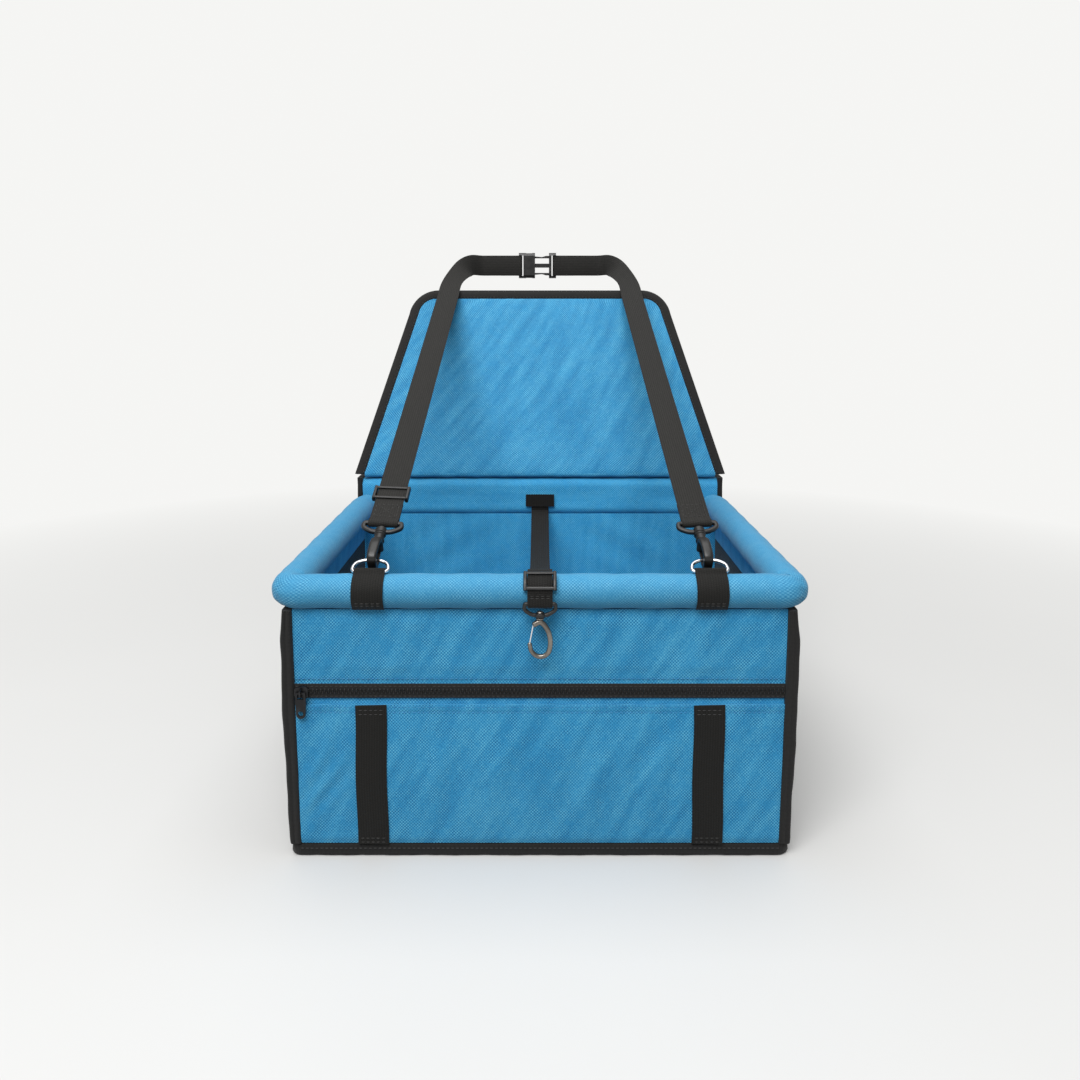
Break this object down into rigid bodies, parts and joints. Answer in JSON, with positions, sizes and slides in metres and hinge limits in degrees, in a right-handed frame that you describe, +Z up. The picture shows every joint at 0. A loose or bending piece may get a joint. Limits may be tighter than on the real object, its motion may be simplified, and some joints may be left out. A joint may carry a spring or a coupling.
{
  "type": "dog car seat",
  "caption": "Fabric booster box for a small dog, with a padded rim, a reclined back panel, straps that hang it from a headrest and a short safety tether.",
  "frame": {"origin": "middle of the flat underside, where the box stands on a car's seat", "axes": "+X to the right seen from the front, +Y from the front panel to the back rest, +Z up"},
  "size_m": [0.4314, 0.4745, 0.524],
  "materials": {
    "cloth": "blue woven polyester",
    "cloth_dark": "blue woven polyester",
    "webbing": "dark grey woven webbing and binding tape",
    "black_cloth": "black woven polyester",
    "mesh": "dark air mesh",
    "plastic": "moulded plastic",
    "zip_metal": "black coated",
    "chrome": "plated",
    "bronze": "dark nickel plated",
    "pipe": "extruded and moulded plastic",
    "board": "pressed fibre board"
  },
  "bodies": {
    "seat": {"back_corner_binding_left": "webbing", "back_corner_binding_right": "webbing", "back_wall": "cloth", "base_binding": "webbing", "base_board": "board", "base_panel": "black_cloth", "buckle_plug": "plastic", "buckle_socket": "plastic", "corner_binding_left": "webbing", "corner_binding_right": "webbing", "floor_pad": "cloth_dark", "frame_elbow_back_left": "pipe", "frame_elbow_back_right": "pipe", "frame_elbow_front_left": "pipe", "frame_elbow_front_right": "pipe", "frame_tube_back": "pipe", "frame_tube_front": "pipe", "frame_tube_left": "pipe", "frame_tube_right": "pipe", "front_panel": "cloth", "pocket_panel": "cloth", "pocket_webbing_left": "webbing", "pocket_webbing_right": "webbing", "rim_back": "cloth", "rim_band_left": "webbing", "rim_band_right": "webbing", "rim_front": "cloth", "rim_left": "cloth", "rim_right": "cloth", "side_mesh_left": "mesh", "side_mesh_right": "mesh", "side_strip_left": "cloth", "side_strip_right": "cloth", "snap_eye_left": "plastic", "snap_eye_right": "plastic", "strap_left": "webbing", "strap_right": "webbing", "tether_adjuster": "plastic", "tether_eye": "plastic", "tether_patch": "webbing", "tether_strap": "webbing", "zip_tape": "black_cloth"},
    "back_rest": {"back_panel": "cloth", "back_board": "board", "back_cover": "black_cloth", "back_panel_binding": "webbing"},
    "zip_slider": {"zip_slider": "zip_metal"},
    "zip_pull": {"zip_pull": "zip_metal"},
    "d_ring_left": {"d_ring_left": "chrome"},
    "d_ring_right": {"d_ring_right": "chrome"},
    "snap_hook_left": {"snap_hook_left": "plastic"},
    "snap_hook_right": {"snap_hook_right": "plastic"},
    "snap_gate_left": {"snap_gate_left": "plastic"},
    "snap_gate_right": {"snap_gate_right": "plastic"},
    "strap_adjuster": {"strap_adjuster_left": "plastic"},
    "tether_hook": {"tether_hook": "bronze"},
    "tether_gate": {"tether_gate": "chrome"}
  },
  "joints": [
    {"name": "back_rest_recline", "type": "hinge", "parent": "seat", "child": "back_rest", "pos_m": [0, 0.1543, 0.261], "axis": [-1, 0, 0], "range_deg": [0, 20]},
    {"name": "zip_slide", "type": "slide", "parent": "seat", "child": "zip_slider", "axis": [1, 0, 0], "range_m": [0, 0.386]},
    {"name": "zip_pull_swing", "type": "hinge", "parent": "zip_slider", "child": "zip_pull", "pos_m": [-0.1935, -0.17596, 0.1412], "axis": [-1, 0, 0], "range_deg": [0, 150]},
    {"name": "d_ring_tilt_left", "type": "hinge", "parent": "seat", "child": "d_ring_left", "pos_m": [-0.1375, -0.1658, 0.23915], "axis": [1, 0, 0], "range_deg": [-7, 7]},
    {"name": "snap_hook_swivel_left", "type": "hinge", "parent": "seat", "child": "snap_hook_left", "pos_m": [-0.13558, -0.13917, 0.25539], "axis": [0.0615, 0.8522, 0.5196], "range_deg": [-20, 20]},
    {"name": "snap_gate_push_left", "type": "hinge", "parent": "snap_hook_left", "child": "snap_gate_left", "pos_m": [-0.13577, -0.13778, 0.24699], "axis": [-0.9981, 0.0525, 0.032], "range_deg": [0, 25], "stiffness_Nm_per_rad": 0.02, "springref_deg": -14.32},
    {"name": "d_ring_tilt_right", "type": "hinge", "parent": "seat", "child": "d_ring_right", "pos_m": [0.1375, -0.1658, 0.23915], "axis": [1, 0, 0], "range_deg": [-7, 7]},
    {"name": "snap_hook_swivel_right", "type": "hinge", "parent": "seat", "child": "snap_hook_right", "pos_m": [0.13558, -0.13917, 0.25539], "axis": [-0.0615, 0.8522, 0.5196], "range_deg": [-20, 20]},
    {"name": "snap_gate_push_right", "type": "hinge", "parent": "snap_hook_right", "child": "snap_gate_right", "pos_m": [0.13577, -0.13778, 0.24699], "axis": [-0.9981, -0.0525, -0.032], "range_deg": [0, 25], "stiffness_Nm_per_rad": 0.02, "springref_deg": -14.32},
    {"name": "strap_adjust", "type": "slide", "parent": "seat", "child": "strap_adjuster", "axis": [0.0615, 0.8522, 0.5196], "range_m": [0, 0.2]},
    {"name": "tether_hook_swivel", "type": "hinge", "parent": "seat", "child": "tether_hook", "pos_m": [0, -0.1831, 0.2033], "axis": [0, 0, 1], "continuous": true},
    {"name": "tether_gate_push", "type": "hinge", "parent": "tether_hook", "child": "tether_gate", "pos_m": [-0.00538, -0.1831, 0.20091], "axis": [0, -1, 0], "range_deg": [0, 25], "stiffness_Nm_per_rad": 0.01, "springref_deg": -14.32}
  ]
}
